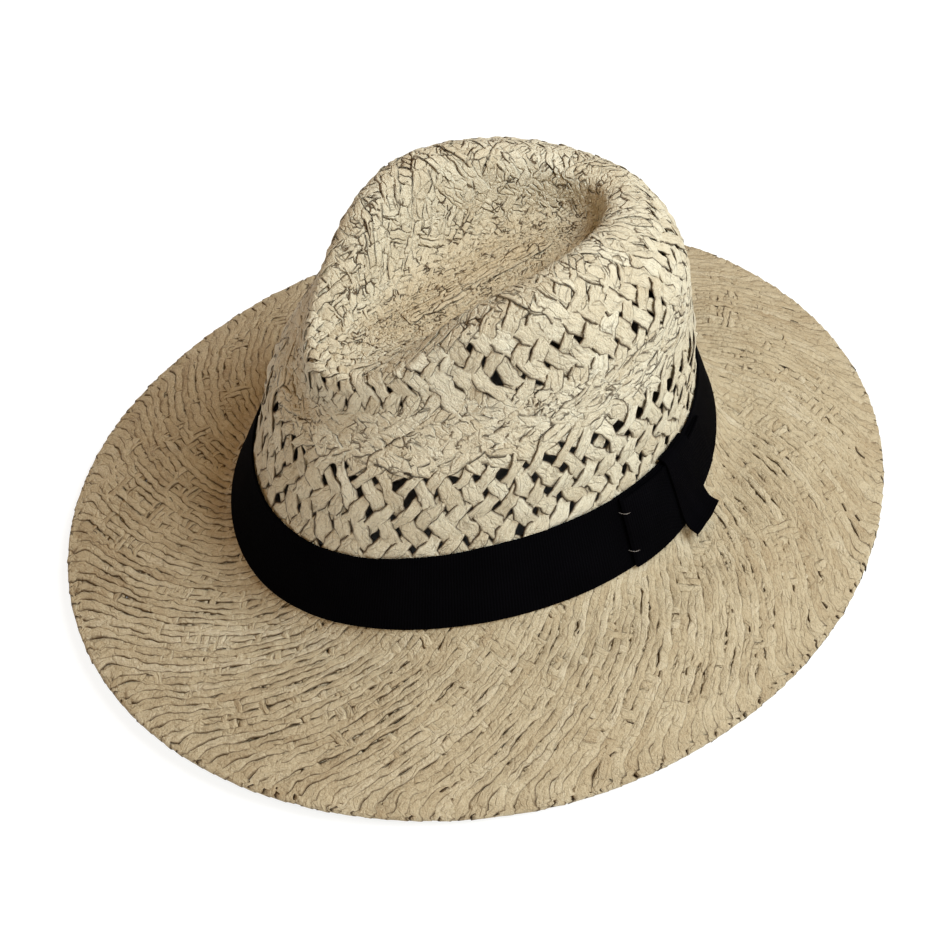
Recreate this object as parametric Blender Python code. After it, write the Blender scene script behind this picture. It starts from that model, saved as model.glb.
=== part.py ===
"""Panama hat: one woven straw body, a ribbon band with a flat bow, a wired
brim hem and the textile lining parts inside the crown.

The hat stands on the underside of its brim hem.  Front is -Y, the wearer's
left (the bow side) is +X, up is +Z and the middle of the footprint is the
origin.  Lengths below are millimetres; MM turns them into metres.
"""
import math

import bmesh
import bpy
import numpy as np
from mathutils import Vector

MM = 0.001

# ---------------------------------------------------------------- dimensions
BRIM_HALF_WIDTH = 150.0        # centre to side edge
BRIM_FRONT_REACH = 173.5       # centre to front edge
BRIM_REAR_REACH = 173.5
BRIM_END_LIFT = 4.8            # front and rear edge above the resting sides
REST_FLAT_COSINE = 0.30        # sides stay flat while |cos(angle)| is below this

SHELL_THICKNESS = 1.2
HEM_GAP = 1.1                  # slit left inside the turned-under edge
HEM_DEPTH = 10.0               # width of the turned-under strip
WIRE_DIAMETER = 0.7

BAND_BOTTOM_HALF_WIDTH = 83.9
BAND_BOTTOM_FRONT = 107.2
BAND_BOTTOM_REAR = 100.8
BAND_BOTTOM_HEIGHT = 24.3
BAND_FRONT_RISE = -1.8         # front-to-rear tilt of the band
BAND_SADDLE = 1.6              # ends of the band against its sides
BAND_TRIM = -3.2               # three gentle waves round the band
BAND_TAPER = 12.2              # how much the band leans in, bottom to top
BAND_REAR_TAPER = 9.6          # the rear wall is steeper
BAND_RISE = 29.2               # level difference from band bottom to band top
BAND_TOP_SADDLE = -1.9
BAND_THICKNESS = 0.8
FIT_GAP = 0.35                 # air between neighbouring parts
ROOT_DROP = 1.9                # brim surface below the band's lower edge
BAND_START = 0.05              # lower edge as a share of the band height

# Crown rings above the band.  Plan: half width, front reach, rear reach,
# corner exponent, front narrowing, side pinch.  Level: mean height, front-to-
# rear tilt, side saddle, third-harmonic trim.
MIDDLE_PLAN = (68.0, 82.5, 86.5, 2.05, 0.025, 0.02)
MIDDLE_LEVEL = (86.0, 2.0, -4.5, 0.0)
SHOULDER_PLAN = (57.0, 73.5, 77.5, 1.9, 0.13, 0.04)
SHOULDER_LEVEL = (117.5, -11.5, -9.0, 0.0)
CREST_PLAN = (40.0, 67.5, 61.5, 1.65, -0.04, 0.02)
CREST_LEVEL = (136.0, -9.5, -12.0, -2.5)
NOSE_LIFT = 5.5                # front of the crest raised, over NOSE_SPREAD
NOSE_SPREAD = 20.0             # degrees
CREST_ROUND = 4.5              # the crest is rounded over twice this width
FLOOR_PLAN = (19.0, 52.0, 47.0, 2.0, 0.1, 0.0)
FLOOR_LEVEL = (117.0, -3.0, -1.0, 0.0)
BOTTOM_PLAN = (1.0, 32.0, 29.0, 2.0, 0.0, 0.0)
BOTTOM_LEVEL = (116.0, -1.5, 0.0, 0.0)

SWEATBAND_START = 67.0         # stations measured in from the brim edge
SWEATBAND_END = 97.0
SWEATBAND_THICKNESS = 1.0

BOW_CENTRE_ANGLE = 116.4       # degrees round from the front towards the left
BOW_FRONT_ANGLE = 95.5         # folded end of the front loop
BOW_REAR_ANGLE = 131.0         # folded end of the rear loop
FRONT_LOOP_HEIGHTS = (0.07, 0.38, 0.69, 0.99)   # shares of the band height
REAR_LOOP_HEIGHTS = (0.20, 0.45, 0.70, 0.94)
BOW_PLY = 0.7                  # ribbon thickness in the bow
BOW_AIR = 0.35                 # air inside a flattened loop
BOW_SWELL = 0.25
KNOT_HALF_ANGLE = 5.2
KNOT_LIFT = 3.0                # middle of the knot above the band face
KNOT_FLARE = 7.9               # how far the free lower end stands off
BAND_RADIUS = 92.0             # mean radius used to turn arc length into angle
BAND_SLANT_HEIGHT = 34.0       # band height measured along its slope

LABEL_FIRST_ANGLE = 191.0
LABEL_LAST_ANGLE = 206.0
LABEL_THICKNESS = 0.5
TAPE_HALF_ANGLE = 4.5
TAPE_THICKNESS = 0.6

AROUND = 64                    # facets round the hat
RIBBON_COLOUR = (0.012, 0.012, 0.016)


# ------------------------------------------------------------ surface curves
def oval(theta, half_width, front, rear, exponent=2.0, egg=0.0, pinch=0.0):
    """Plan curve; theta is 0 at the front and 90 degrees at the left."""
    c = np.cos(theta)
    s = np.sin(theta)
    k = (np.abs(c) ** exponent + np.abs(s) ** exponent) ** (-1.0 / exponent)
    turn = np.abs((theta + math.pi) % (2.0 * math.pi) - math.pi)
    dip = np.exp(-((turn - math.radians(52.0)) / math.radians(20.0)) ** 2)
    scale = 1.0 - pinch * dip
    x = half_width * s * k * (1.0 - egg * c) * scale
    y = np.where(c > 0.0, -front, -rear) * c * k * scale
    return x, y


def ring(theta, plan, level):
    x, y = oval(theta, *plan)
    mean, tilt, saddle, trim = level
    z = mean + tilt * np.cos(theta) + saddle * np.cos(2.0 * theta) + trim * np.cos(3.0 * theta)
    return np.stack([x, y, z], axis=-1)


def edge_lift(theta):
    """Height of the brim edge above its resting sides."""
    t = (np.abs(np.cos(theta)) - REST_FLAT_COSINE) / (1.0 - REST_FLAT_COSINE)
    t = np.clip(t, 0.0, 1.0)
    return BRIM_END_LIFT * t * t * (3.0 - 2.0 * t)


def band_bottom(theta, inset=0.0):
    plan = (BAND_BOTTOM_HALF_WIDTH - inset, BAND_BOTTOM_FRONT - inset,
            BAND_BOTTOM_REAR - inset, 2.0)
    return ring(theta, plan, (BAND_BOTTOM_HEIGHT, BAND_FRONT_RISE, BAND_SADDLE, BAND_TRIM))


def band_top(theta, inset=0.0):
    lean = BAND_TAPER + inset
    plan = (BAND_BOTTOM_HALF_WIDTH - lean, BAND_BOTTOM_FRONT - lean,
            BAND_BOTTOM_REAR - BAND_REAR_TAPER - inset, 2.05)
    return ring(theta, plan, (BAND_BOTTOM_HEIGHT + BAND_RISE, BAND_FRONT_RISE,
                              BAND_SADDLE + BAND_TOP_SADDLE, BAND_TRIM))


def grown(plan, amount):
    return (plan[0] + amount, plan[1] + amount, plan[2] + amount) + tuple(plan[3:])


def shell_curves(theta):
    """Control curves of the outer straw surface, brim edge to crown dent."""
    hem = 2.0 * SHELL_THICKNESS + HEM_GAP
    edge = ring(theta, (BRIM_HALF_WIDTH - 0.5 * hem, BRIM_FRONT_REACH - 0.5 * hem,
                        BRIM_REAR_REACH - 0.5 * hem, 2.0), (hem, 0.0, 0.0, 0.0))
    edge[:, 2] += edge_lift(theta)
    inset = BAND_THICKNESS + FIT_GAP
    low = band_bottom(theta, inset)
    top = band_top(theta, inset)
    brim_middle = 0.47 * edge + 0.53 * low
    brim_root = 0.05 * edge + 0.95 * low
    brim_root[:, 2] -= ROOT_DROP
    wall_root = 0.93 * low + 0.07 * top
    middle = ring(theta, MIDDLE_PLAN, MIDDLE_LEVEL)
    shoulder = ring(theta, SHOULDER_PLAN, SHOULDER_LEVEL)
    crest_out = ring(theta, grown(CREST_PLAN, CREST_ROUND), CREST_LEVEL)
    crest_in = ring(theta, grown(CREST_PLAN, -CREST_ROUND), CREST_LEVEL)
    turn = np.degrees(np.abs((theta + math.pi) % (2.0 * math.pi) - math.pi))
    trim = NOSE_LIFT * np.exp(-(turn / NOSE_SPREAD) ** 2) - 0.9 * CREST_ROUND
    crest_out[:, 2] += trim
    crest_in[:, 2] += trim
    floor = ring(theta, FLOOR_PLAN, FLOOR_LEVEL)
    bottom = ring(theta, BOTTOM_PLAN, BOTTOM_LEVEL)
    curves = [edge, brim_middle, brim_root, wall_root, top, middle, shoulder,
              crest_out, crest_in, floor, bottom]
    knots = [0.0, 30.0, 60.0, 68.0, 98.0, 134.0, 163.0, 180.0, 190.0, 212.0, 232.0]
    return np.array(curves), np.array(knots)


LAST_STATION = 232.0


def hermite(curves, knots, stations):
    """Smooth curve rows at the given stations between the control curves."""
    slopes = np.zeros_like(curves)
    steps = np.diff(knots)
    chords = np.diff(curves, axis=0) / steps[:, None, None]
    slopes[0] = chords[0]
    slopes[-1] = chords[-1]
    for i in range(1, len(knots) - 1):
        before = steps[i - 1]
        after = steps[i]
        slopes[i] = (chords[i - 1] * after + chords[i] * before) / (before + after)
    rows = []
    for v in stations:
        i = min(max(int(np.searchsorted(knots, v, side="right")) - 1, 0), len(knots) - 2)
        h = knots[i + 1] - knots[i]
        u = (v - knots[i]) / h
        a = 2.0 * u ** 3 - 3.0 * u ** 2 + 1.0
        b = u ** 3 - 2.0 * u ** 2 + u
        c = -2.0 * u ** 3 + 3.0 * u ** 2
        d = u ** 3 - u ** 2
        rows.append(a * curves[i] + b * h * slopes[i] + c * curves[i + 1] + d * h * slopes[i + 1])
    return np.array(rows)


def shell_points(theta, stations, depth=0.0):
    """Outer shell surface points, moved inward along the normal by depth."""
    curves, knots = shell_curves(theta)
    here = hermite(curves, knots, stations)
    if depth == 0.0:
        return here
    step = 0.5
    ahead = hermite(curves, knots, [min(v + step, LAST_STATION) for v in stations])
    behind = hermite(curves, knots, [max(v - step, 0.0) for v in stations])
    turn = 0.01
    left = hermite(shell_curves(theta + turn)[0], knots, stations)
    right = hermite(shell_curves(theta - turn)[0], knots, stations)
    normal = np.cross(left - right, ahead - behind)
    normal /= np.linalg.norm(normal, axis=-1, keepdims=True)
    return here - depth * normal


# --------------------------------------------------------------- mesh making
def make_object(name, verts, faces, colour, roughness):
    mesh = bpy.data.meshes.new(name)
    mesh.from_pydata([Vector(v) * MM for v in verts], [], faces)
    mesh.update()
    work = bmesh.new()
    work.from_mesh(mesh)
    bmesh.ops.recalc_face_normals(work, faces=work.faces)
    bmesh.ops.triangulate(work, faces=work.faces)
    if work.calc_volume(signed=True) < 0.0:
        bmesh.ops.reverse_faces(work, faces=work.faces)
    work.to_mesh(mesh)
    work.free()
    material = bpy.data.materials.new(name + "_material")
    material.use_nodes = True
    shader = material.node_tree.nodes["Principled BSDF"]
    shader.inputs["Base Color"].default_value = (*colour, 1.0)
    shader.inputs["Roughness"].default_value = roughness
    mesh.materials.append(material)
    body = bpy.data.objects.new(name, mesh)
    bpy.context.collection.objects.link(body)
    return body


def lathe_faces(rows, around, closed_loop):
    """Quads joining successive rows of points that run all the way round."""
    faces = []
    pairs = rows if closed_loop else rows - 1
    for i in range(pairs):
        j = (i + 1) % rows
        for k in range(around):
            n = (k + 1) % around
            faces.append((i * around + k, i * around + n, j * around + n, j * around + k))
    return faces


def slit_cap(start, around):
    """Quads across a ring that has collapsed to a narrow front-to-rear slit."""
    faces = []
    half = around // 2
    for k in range(half):
        a = start + k
        b = start + k + 1
        c = start + (around - k - 1) % around
        d = start + (around - k) % around
        corners = []
        for index in (a, b, c, d):
            if index not in corners:
                corners.append(index)
        faces.append(tuple(corners))
    return faces


def strip_object(name, outer, inner, colour, roughness):
    """Closed solid between two grids of equal size (rows x columns)."""
    rows, columns = outer.shape[:2]
    count = rows * columns
    verts = [tuple(p) for p in outer.reshape(-1, 3)]
    verts += [tuple(p) for p in inner.reshape(-1, 3)]
    faces = []
    for i in range(rows - 1):
        for k in range(columns - 1):
            a = i * columns + k
            quad = (a, a + 1, a + columns + 1, a + columns)
            faces.append(quad)
            faces.append(tuple(count + q for q in reversed(quad)))
    rim = [k for k in range(columns)]
    rim += [i * columns + columns - 1 for i in range(1, rows)]
    rim += [(rows - 1) * columns + k for k in range(columns - 2, -1, -1)]
    rim += [i * columns for i in range(rows - 2, 0, -1)]
    for a, b in zip(rim, rim[1:] + rim[:1]):
        faces.append((a, b, count + b, count + a))
    return make_object(name, verts, faces, colour, roughness)


def ring_object(name, outer, inner, colour, roughness):
    """Closed ring between two grids that run all the way round."""
    rows, around = outer.shape[:2]
    loop = np.concatenate([outer, inner[::-1]], axis=0)
    verts = [tuple(p) for p in loop.reshape(-1, 3)]
    return make_object(name, verts, lathe_faces(2 * rows, around, True), colour, roughness)


# ------------------------------------------------------------------ the parts
def full_turn():
    return np.arange(AROUND) * (2.0 * math.pi / AROUND)


def edge_outward(theta):
    """Unit plan direction square to the brim edge."""
    x = np.sin(theta) / BRIM_HALF_WIDTH
    y = -np.cos(theta) / BRIM_FRONT_REACH
    length = np.hypot(x, y)
    return x / length, y / length


def hem_rows(theta):
    """Section of the turned-under edge: down the outside, back up inside."""
    total = 2.0 * SHELL_THICKNESS + HEM_GAP
    radius = 0.5 * total
    inner_radius = 0.5 * HEM_GAP
    curves, _ = shell_curves(theta)
    anchor = curves[0]
    out_x, out_y = edge_outward(theta)
    fold_outer = []
    for degrees in (60.0, 25.0, -10.0, -50.0, -90.0):
        a = math.radians(degrees)
        fold_outer.append((radius * math.cos(a), radius * math.sin(a) - radius))
    hem_end = [(-HEM_DEPTH, -total), (-HEM_DEPTH, -total + SHELL_THICKNESS)]
    fold_inner = []
    for degrees in (-90.0, 0.0, 90.0):
        a = math.radians(degrees)
        fold_inner.append((inner_radius * math.cos(a), inner_radius * math.sin(a) - radius))
    rows = []
    for out, up in fold_outer + hem_end + fold_inner:
        rows.append(anchor + np.stack([out * out_x, out * out_y, np.full_like(theta, up)], -1))
    return np.array(rows)


def straw_body():
    theta = full_turn()
    outer_stations = [232, 226, 219, 212, 205, 198, 193, 189, 185, 181, 176, 170, 162, 153,
                      143, 134, 122, 110, 98, 88, 78, 70, 66, 62, 57, 48, 38, 27, 14, 0]
    inner_stations = [9, 20, 32, 44, 54, 61, 65, 69, 76, 87, 98, 110, 122, 134, 145, 156,
                      166, 174, 180, 185, 190, 196, 203, 211, 219, 226, 232]
    outer = shell_points(theta, outer_stations)
    inner = shell_points(theta, inner_stations, SHELL_THICKNESS)
    rows = np.concatenate([outer, hem_rows(theta), inner], axis=0)
    count = len(rows)
    faces = lathe_faces(count, AROUND, False)
    faces += slit_cap(0, AROUND)
    faces += slit_cap((count - 1) * AROUND, AROUND)
    verts = [tuple(p) for p in rows.reshape(-1, 3)]
    return make_object("straw_body", verts, faces, (0.62, 0.52, 0.34), 0.8)


def brim_edge_wire():
    theta = full_turn()
    curves, _ = shell_curves(theta)
    out_x, out_y = edge_outward(theta)
    radius = 0.5 * WIRE_DIAMETER
    drop = SHELL_THICKNESS + 0.5 * HEM_GAP
    rows = []
    sides = 6
    for k in range(sides):
        a = 2.0 * math.pi * k / sides
        out = -1.2 + radius * math.cos(a)
        up = np.full_like(theta, radius * math.sin(a) - drop)
        rows.append(curves[0] + np.stack([out * out_x, out * out_y, up], -1))
    verts = [tuple(p) for p in np.array(rows).reshape(-1, 3)]
    return make_object("brim_edge_wire", verts, lathe_faces(sides, AROUND, True),
                       (0.55, 0.56, 0.58), 0.35)


def band_surface(theta, height, lift):
    """Point on the band: height 0 at its bottom, 1 at its top, lift outward."""
    low = band_bottom(theta, -lift)
    top = band_top(theta, -lift)
    return low * (1.0 - height) + top * height


def ribbon_band():
    theta = full_turn()
    levels = (BAND_START, 0.35, 0.68, 1.0)
    outer = np.array([band_surface(theta, h, 0.0) for h in levels])
    inner = np.array([band_surface(theta, h, -BAND_THICKNESS) for h in levels])
    return ring_object("ribbon_band", outer, inner, RIBBON_COLOUR, 0.85)


def band_point(degrees, height, lift):
    return band_surface(np.radians(np.array([degrees])), height, lift)[0]


def thickened(path, ply):
    """Two polylines half a ply either side of a flat path of (across, lift)."""
    points = np.array(path, dtype=float)
    along = np.gradient(points, axis=0)
    along /= np.linalg.norm(along, axis=1, keepdims=True)
    square = np.stack([-along[:, 1], along[:, 0]], axis=1)
    return points + 0.5 * ply * square, points - 0.5 * ply * square


def bow_loop(name, near, far, heights):
    """Flat ribbon loop: one ply that runs out, folds and comes back on top."""
    sign = 1.0 if far > near else -1.0
    fold = 0.5 * (BOW_PLY + BOW_AIR)
    base = FIT_GAP + 0.5 * BOW_PLY
    reach = abs(far - near) * math.radians(BAND_RADIUS) - fold
    steps = 7
    path = [(reach * i / (steps - 1.0), base) for i in range(steps)]
    for degrees in (-50.0, 0.0, 50.0):
        a = math.radians(degrees)
        path.append((reach + fold * math.cos(a), base + fold + fold * math.sin(a)))
    for i in range(steps - 1, -1, -1):
        share = i / (steps - 1.0)
        swell = BOW_SWELL * math.sin(math.pi * share)
        path.append((reach * share, base + 2.0 * fold + swell))
    faces_out = []
    for side in thickened(path, BOW_PLY):
        grid = []
        for across, lift in side:
            angle = near + sign * across / math.radians(BAND_RADIUS)
            grid.append([band_point(angle, h, lift) for h in heights])
        faces_out.append(np.array(grid))
    return strip_object(name, faces_out[0], faces_out[1], RIBBON_COLOUR, 0.85)


def bow_knot():
    """Upright wrap over both loops; its lower end flares out over the brim."""
    rise = BAND_SLANT_HEIGHT
    path = [(1.06 * rise, -0.3), (1.065 * rise, 1.4), (1.04 * rise, KNOT_LIFT - 0.3),
            (0.92 * rise, KNOT_LIFT), (0.65 * rise, KNOT_LIFT), (0.38 * rise, KNOT_LIFT),
            (0.18 * rise, KNOT_LIFT + 0.5), (0.08 * rise, KNOT_LIFT + 1.7),
            (0.04 * rise, KNOT_FLARE)]
    grids = []
    for side in thickened(path, BOW_PLY):
        grid = []
        for up, lift in side:
            row = []
            for share in (-1.0, -0.5, 0.0, 0.5, 1.0):
                angle = BOW_CENTRE_ANGLE + share * KNOT_HALF_ANGLE
                row.append(band_point(angle, up / rise, lift))
            grid.append(row)
        grids.append(np.array(grid))
    return strip_object("bow_knot", grids[0], grids[1], RIBBON_COLOUR, 0.85)


def sweatband():
    theta = full_turn()
    stations = np.linspace(SWEATBAND_START, SWEATBAND_END, 5)
    near = SHELL_THICKNESS + FIT_GAP
    outer = shell_points(theta, stations, near)
    inner = shell_points(theta, stations, near + SWEATBAND_THICKNESS)
    return ring_object("sweatband", outer, inner, (0.02, 0.02, 0.022), 0.9)


def lining_patch(name, first, last, stations, thickness, colour):
    """Curved patch lying on the inner face of the sweatband."""
    columns = 7
    theta = np.radians(np.linspace(first, last, columns))
    near = SHELL_THICKNESS + SWEATBAND_THICKNESS + 2.0 * FIT_GAP
    outer = shell_points(theta, stations, near)
    inner = shell_points(theta, stations, near + thickness)
    return strip_object(name, outer, inner, colour, 0.85)


def main():
    for item in list(bpy.data.objects):
        bpy.data.objects.remove(item, do_unlink=True)
    straw_body()
    brim_edge_wire()
    ribbon_band()
    bow_loop("bow_front_loop", BOW_CENTRE_ANGLE - 0.6, BOW_FRONT_ANGLE, FRONT_LOOP_HEIGHTS)
    bow_loop("bow_rear_loop", BOW_CENTRE_ANGLE + 0.6, BOW_REAR_ANGLE, REAR_LOOP_HEIGHTS)
    bow_knot()
    sweatband()
    lining_patch("sweatband_seam_tape", 180.0 - TAPE_HALF_ANGLE, 180.0 + TAPE_HALF_ANGLE,
                 np.linspace(68.5, 96.0, 5), TAPE_THICKNESS, (0.03, 0.03, 0.034))
    lining_patch("care_label", LABEL_FIRST_ANGLE, LABEL_LAST_ANGLE,
                 np.linspace(71.0, 98.5, 5), LABEL_THICKNESS, (0.75, 0.74, 0.70))


main()
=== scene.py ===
import functools
import math

import bpy
import numpy as np
from mathutils import Matrix


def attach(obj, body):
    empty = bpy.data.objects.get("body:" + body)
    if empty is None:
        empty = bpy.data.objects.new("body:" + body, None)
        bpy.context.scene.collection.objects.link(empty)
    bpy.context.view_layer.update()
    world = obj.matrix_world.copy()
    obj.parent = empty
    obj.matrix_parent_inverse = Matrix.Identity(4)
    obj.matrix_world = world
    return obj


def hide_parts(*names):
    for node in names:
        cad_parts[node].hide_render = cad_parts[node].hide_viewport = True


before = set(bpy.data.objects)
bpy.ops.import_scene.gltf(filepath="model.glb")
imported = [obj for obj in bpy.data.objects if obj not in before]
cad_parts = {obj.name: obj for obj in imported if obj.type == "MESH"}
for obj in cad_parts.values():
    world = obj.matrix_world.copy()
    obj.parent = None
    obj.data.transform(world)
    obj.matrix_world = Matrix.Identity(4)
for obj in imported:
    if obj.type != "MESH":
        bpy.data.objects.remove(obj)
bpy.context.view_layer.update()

# Looks of the woven straw hat.  Lengths are millimetres until a mesh is made.
MM = 0.001
SEED = 20

# ------------------------------------------------------- shape of the hat
BRIM_HALF_WIDTH = 150.0
BRIM_REACH = 173.5
BRIM_END_LIFT = 4.8
REST_FLAT_COSINE = 0.30
SHELL_THICKNESS = 1.2
HEM_GAP = 1.1
HEM_DEPTH = 10.0
HEM_TOTAL = 2.0 * SHELL_THICKNESS + HEM_GAP

BAND_BOTTOM_HALF_WIDTH = 83.9
BAND_BOTTOM_FRONT = 107.2
BAND_BOTTOM_REAR = 100.8
BAND_BOTTOM_HEIGHT = 24.3
BAND_FRONT_RISE = -1.8
BAND_SADDLE = 1.6
BAND_TRIM = -3.2
BAND_TAPER = 12.2
BAND_REAR_TAPER = 9.6
BAND_RISE = 29.2
BAND_TOP_SADDLE = -1.9
BAND_THICKNESS = 0.8
FIT_GAP = 0.35
ROOT_DROP = 1.9
BAND_START = 0.05

MIDDLE_PLAN = (68.0, 82.5, 86.5, 2.05, 0.025, 0.02)
MIDDLE_LEVEL = (86.0, 2.0, -4.5, 0.0)
SHOULDER_PLAN = (57.0, 73.5, 77.5, 1.9, 0.13, 0.04)
SHOULDER_LEVEL = (117.5, -11.5, -9.0, 0.0)
CREST_PLAN = (40.0, 67.5, 61.5, 1.65, -0.04, 0.02)
CREST_LEVEL = (136.0, -9.5, -12.0, -2.5)
NOSE_LIFT = 5.5
NOSE_SPREAD = 20.0
CREST_ROUND = 4.5
FLOOR_PLAN = (19.0, 52.0, 47.0, 2.0, 0.1, 0.0)
FLOOR_LEVEL = (117.0, -3.0, -1.0, 0.0)
BOTTOM_PLAN = (1.0, 32.0, 29.0, 2.0, 0.0, 0.0)
BOTTOM_LEVEL = (116.0, -1.5, 0.0, 0.0)
KNOTS = np.array([0.0, 30.0, 60.0, 68.0, 98.0, 134.0, 163.0, 180.0, 190.0, 212.0, 232.0])
LAST_STATION = 232.0


def oval(theta, half_width, front, rear, exponent=2.0, egg=0.0, pinch=0.0):
    """Plan curve; theta is 0 at the front and 90 degrees at the wearer's left."""
    c = np.cos(theta)
    s = np.sin(theta)
    k = (np.abs(c) ** exponent + np.abs(s) ** exponent) ** (-1.0 / exponent)
    turn = np.abs((theta + math.pi) % (2.0 * math.pi) - math.pi)
    dip = np.exp(-((turn - math.radians(52.0)) / math.radians(20.0)) ** 2)
    scale = 1.0 - pinch * dip
    x = half_width * s * k * (1.0 - egg * c) * scale
    y = np.where(c > 0.0, -front, -rear) * c * k * scale
    return x, y


def ring(theta, plan, level):
    x, y = oval(theta, *plan)
    mean, tilt, saddle, trim = level
    z = mean + tilt * np.cos(theta) + saddle * np.cos(2.0 * theta) + trim * np.cos(3.0 * theta)
    return np.stack([x, y, z], axis=-1)


def grown(plan, amount):
    return (plan[0] + amount, plan[1] + amount, plan[2] + amount) + tuple(plan[3:])


def band_bottom(theta, inset=0.0):
    plan = (BAND_BOTTOM_HALF_WIDTH - inset, BAND_BOTTOM_FRONT - inset,
            BAND_BOTTOM_REAR - inset, 2.0)
    return ring(theta, plan, (BAND_BOTTOM_HEIGHT, BAND_FRONT_RISE, BAND_SADDLE, BAND_TRIM))


def band_top(theta, inset=0.0):
    lean = BAND_TAPER + inset
    plan = (BAND_BOTTOM_HALF_WIDTH - lean, BAND_BOTTOM_FRONT - lean,
            BAND_BOTTOM_REAR - BAND_REAR_TAPER - inset, 2.05)
    return ring(theta, plan, (BAND_BOTTOM_HEIGHT + BAND_RISE, BAND_FRONT_RISE,
                              BAND_SADDLE + BAND_TOP_SADDLE, BAND_TRIM))


def shell_curves(theta):
    """Control curves of the straw surface, from the brim edge to the crown dent."""
    half = 0.5 * HEM_TOTAL
    plan = (BRIM_HALF_WIDTH - half, BRIM_REACH - half, BRIM_REACH - half, 2.0)
    edge = ring(theta, plan, (HEM_TOTAL, 0.0, 0.0, 0.0))
    t = (np.abs(np.cos(theta)) - REST_FLAT_COSINE) / (1.0 - REST_FLAT_COSINE)
    t = np.clip(t, 0.0, 1.0)
    edge[:, 2] += BRIM_END_LIFT * t * t * (3.0 - 2.0 * t)
    inset = BAND_THICKNESS + FIT_GAP
    low = band_bottom(theta, inset)
    top = band_top(theta, inset)
    brim_middle = 0.47 * edge + 0.53 * low
    brim_root = 0.05 * edge + 0.95 * low
    brim_root[:, 2] -= ROOT_DROP
    wall_root = 0.93 * low + 0.07 * top
    middle = ring(theta, MIDDLE_PLAN, MIDDLE_LEVEL)
    shoulder = ring(theta, SHOULDER_PLAN, SHOULDER_LEVEL)
    crest_out = ring(theta, grown(CREST_PLAN, CREST_ROUND), CREST_LEVEL)
    crest_in = ring(theta, grown(CREST_PLAN, -CREST_ROUND), CREST_LEVEL)
    turn = np.degrees(np.abs((theta + math.pi) % (2.0 * math.pi) - math.pi))
    trim = NOSE_LIFT * np.exp(-(turn / NOSE_SPREAD) ** 2) - 0.9 * CREST_ROUND
    crest_out[:, 2] += trim
    crest_in[:, 2] += trim
    floor = ring(theta, FLOOR_PLAN, FLOOR_LEVEL)
    bottom = ring(theta, BOTTOM_PLAN, BOTTOM_LEVEL)
    return np.array([edge, brim_middle, brim_root, wall_root, top, middle, shoulder,
                     crest_out, crest_in, floor, bottom])


def hermite(curves, stations):
    """Smooth rows of points at the given stations between the control curves."""
    steps = np.diff(KNOTS)
    chords = np.diff(curves, axis=0) / steps[:, None, None]
    slopes = np.zeros_like(curves)
    slopes[0] = chords[0]
    slopes[-1] = chords[-1]
    for i in range(1, len(KNOTS) - 1):
        total = steps[i - 1] + steps[i]
        slopes[i] = (chords[i - 1] * steps[i] + chords[i] * steps[i - 1]) / total
    rows = []
    for v in stations:
        i = min(max(int(np.searchsorted(KNOTS, v, side="right")) - 1, 0), len(KNOTS) - 2)
        h = KNOTS[i + 1] - KNOTS[i]
        u = (v - KNOTS[i]) / h
        a = 2.0 * u ** 3 - 3.0 * u ** 2 + 1.0
        b = u ** 3 - 2.0 * u ** 2 + u
        c = 3.0 * u ** 2 - 2.0 * u ** 3
        d = u ** 3 - u ** 2
        rows.append(a * curves[i] + b * h * slopes[i] + c * curves[i + 1] + d * h * slopes[i + 1])
    return np.array(rows)


def hem_rows(theta, stations, anchor):
    """Rows round the turned-under edge; stations run below zero from the edge."""
    x = np.sin(theta) / BRIM_HALF_WIDTH
    y = -np.cos(theta) / BRIM_REACH
    length = np.hypot(x, y)
    out = np.stack([x / length, y / length, np.zeros_like(x)], axis=-1)
    radius = 0.5 * HEM_TOTAL
    rows = []
    for v in stations:
        arc = min(-v, math.pi * radius)
        angle = 0.5 * math.pi - arc / radius
        reach = radius * math.cos(angle) - max(-v - math.pi * radius, 0.0)
        rise = radius * math.sin(angle) - radius
        row = anchor + reach * out
        row[:, 2] += rise
        rows.append(row)
    return np.array(rows)


class Surface:
    """Straw surface sampled on a fine grid of turn angle and station."""

    turns = 720
    first = -15.0
    step = 0.5

    def __init__(self):
        theta = np.arange(self.turns + 1) * (2.0 * math.pi / self.turns)
        self.stations = np.arange(self.first, LAST_STATION + 0.01, self.step)
        curves = shell_curves(theta)
        below = self.stations[self.stations < 0.0]
        above = self.stations[self.stations >= 0.0]
        hem = hem_rows(theta, below, curves[0])
        self.points = np.concatenate([hem, hermite(curves, above)], axis=0)
        self.along = np.gradient(self.points, self.step, axis=0)
        turn_step = 2.0 * math.pi / self.turns
        wrapped = np.concatenate([self.points[:, -2:-1], self.points, self.points[:, 1:2]], axis=1)
        self.around = (wrapped[:, 2:] - wrapped[:, :-2]) / (2.0 * turn_step)
        normal = np.cross(self.around, self.along)
        self.normals = normal / np.maximum(np.linalg.norm(normal, axis=-1, keepdims=True), 1e-9)

    def read(self, grid, theta, station):
        """Bilinear reading of one of the grids."""
        column = (theta / (2.0 * math.pi) % 1.0) * self.turns
        row = np.clip((station - self.first) / self.step, 0.0, len(self.stations) - 1.001)
        c0 = np.minimum(column.astype(int), self.turns - 1)
        r0 = row.astype(int)
        fc = (column - c0)[..., None]
        fr = (row - r0)[..., None]
        low = grid[r0, c0] * (1.0 - fc) + grid[r0, c0 + 1] * fc
        high = grid[r0 + 1, c0] * (1.0 - fc) + grid[r0 + 1, c0 + 1] * fc
        return low * (1.0 - fr) + high * fr

    def normal_at(self, theta, station):
        normal = self.read(self.normals, theta, station)
        return normal / np.maximum(np.linalg.norm(normal, axis=-1, keepdims=True), 1e-9)


SURFACE = Surface()


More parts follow.
